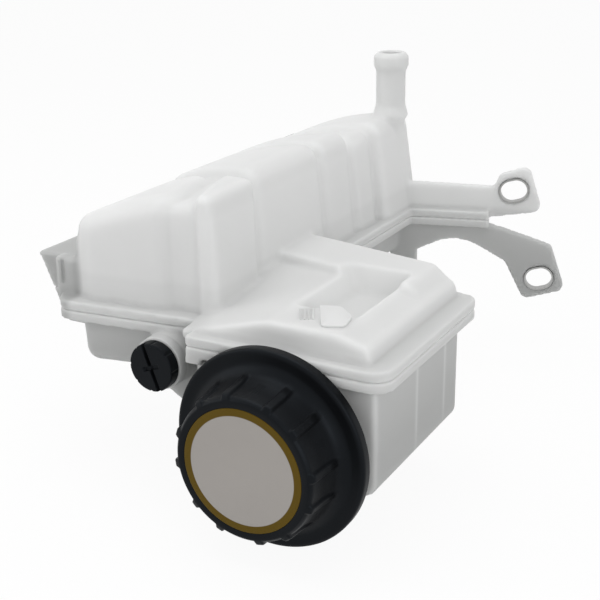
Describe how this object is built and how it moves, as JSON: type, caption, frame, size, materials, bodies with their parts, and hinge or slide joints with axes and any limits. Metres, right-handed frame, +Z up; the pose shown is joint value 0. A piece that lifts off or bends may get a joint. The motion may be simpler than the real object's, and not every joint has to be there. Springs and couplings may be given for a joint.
{
  "type": "coolant expansion tank",
  "caption": "Two-shell moulded coolant tank with chambered tower, flat deck, screw cap holding spring valves, bleed screw, hose spigot and slotted mounting arms.",
  "frame": {"origin": "centre of the filler neck's mouth", "axes": "-Y out of the filler neck, +Z up along the hose spigot, +X towards the side with the box and the mounting arms"},
  "size_m": [0.219, 0.3057, 0.1903],
  "materials": {
    "milky_plastic": "translucent natural polypropylene, fine satin",
    "black_plastic": "satin black glass-filled nylon",
    "label": "printed label film with a soft sheen",
    "valve_plastic": "dark moulded plastic",
    "rubber": "black sealing rubber",
    "steel": "bright zinc-plated steel"
  },
  "bodies": {
    "tank": {"upper_shell": "milky_plastic", "lower_shell": "milky_plastic", "upper_sleeve": "steel", "lower_sleeve": "steel"},
    "cap_carrier": {"valve_insert": "valve_plastic", "neck_seal": "rubber", "insert_o_ring": "rubber", "spring_retainer": "valve_plastic", "pressure_spring": "steel"},
    "cap": {"cap_shell": "black_plastic", "cap_label": "label"},
    "pressure_valve": {"pressure_disc": "valve_plastic", "pressure_seal": "rubber", "vacuum_spring": "steel"},
    "vacuum_valve": {"vacuum_valve": "valve_plastic", "vacuum_washer": "steel"},
    "bleed_carrier": {"bleed_o_ring": "rubber"},
    "bleed_screw": {"bleed_screw": "black_plastic"}
  },
  "joints": [
    {"name": "cap_lift", "type": "slide", "parent": "tank", "child": "cap_carrier", "axis": [0, -1, 0], "range_m": [0, 0.0091]},
    {"name": "cap_turn", "type": "hinge", "parent": "cap_carrier", "child": "cap", "pos_m": [0, 0, 0], "axis": [0, -1, 0], "range_deg": [0, 810]},
    {"name": "pressure_valve_slide", "type": "slide", "parent": "cap_carrier", "child": "pressure_valve", "axis": [0, -1, 0], "range_m": [0, 0.002], "stiffness_N_per_m": 3000, "springref_m": -0.008, "deforming": ["pressure_spring"]},
    {"name": "vacuum_valve_slide", "type": "slide", "parent": "pressure_valve", "child": "vacuum_valve", "axis": [0, 1, 0], "range_m": [0, 0.0015], "stiffness_N_per_m": 150, "springref_m": -0.003, "deforming": ["vacuum_spring"]},
    {"name": "bleed_lift", "type": "slide", "parent": "tank", "child": "bleed_carrier", "axis": [0, -1, 0], "range_m": [0, 0.0041]},
    {"name": "bleed_turn", "type": "hinge", "parent": "bleed_carrier", "child": "bleed_screw", "pos_m": [-0.068, 0.02, 0.024], "axis": [0, -1, 0], "range_deg": [0, 720]}
  ],
  "couplings": [
    {"joint": "cap_lift", "follows": "cap_turn", "m_per_rad": 0.00063662},
    {"joint": "bleed_lift", "follows": "bleed_turn", "m_per_rad": 0.00031831}
  ]
}
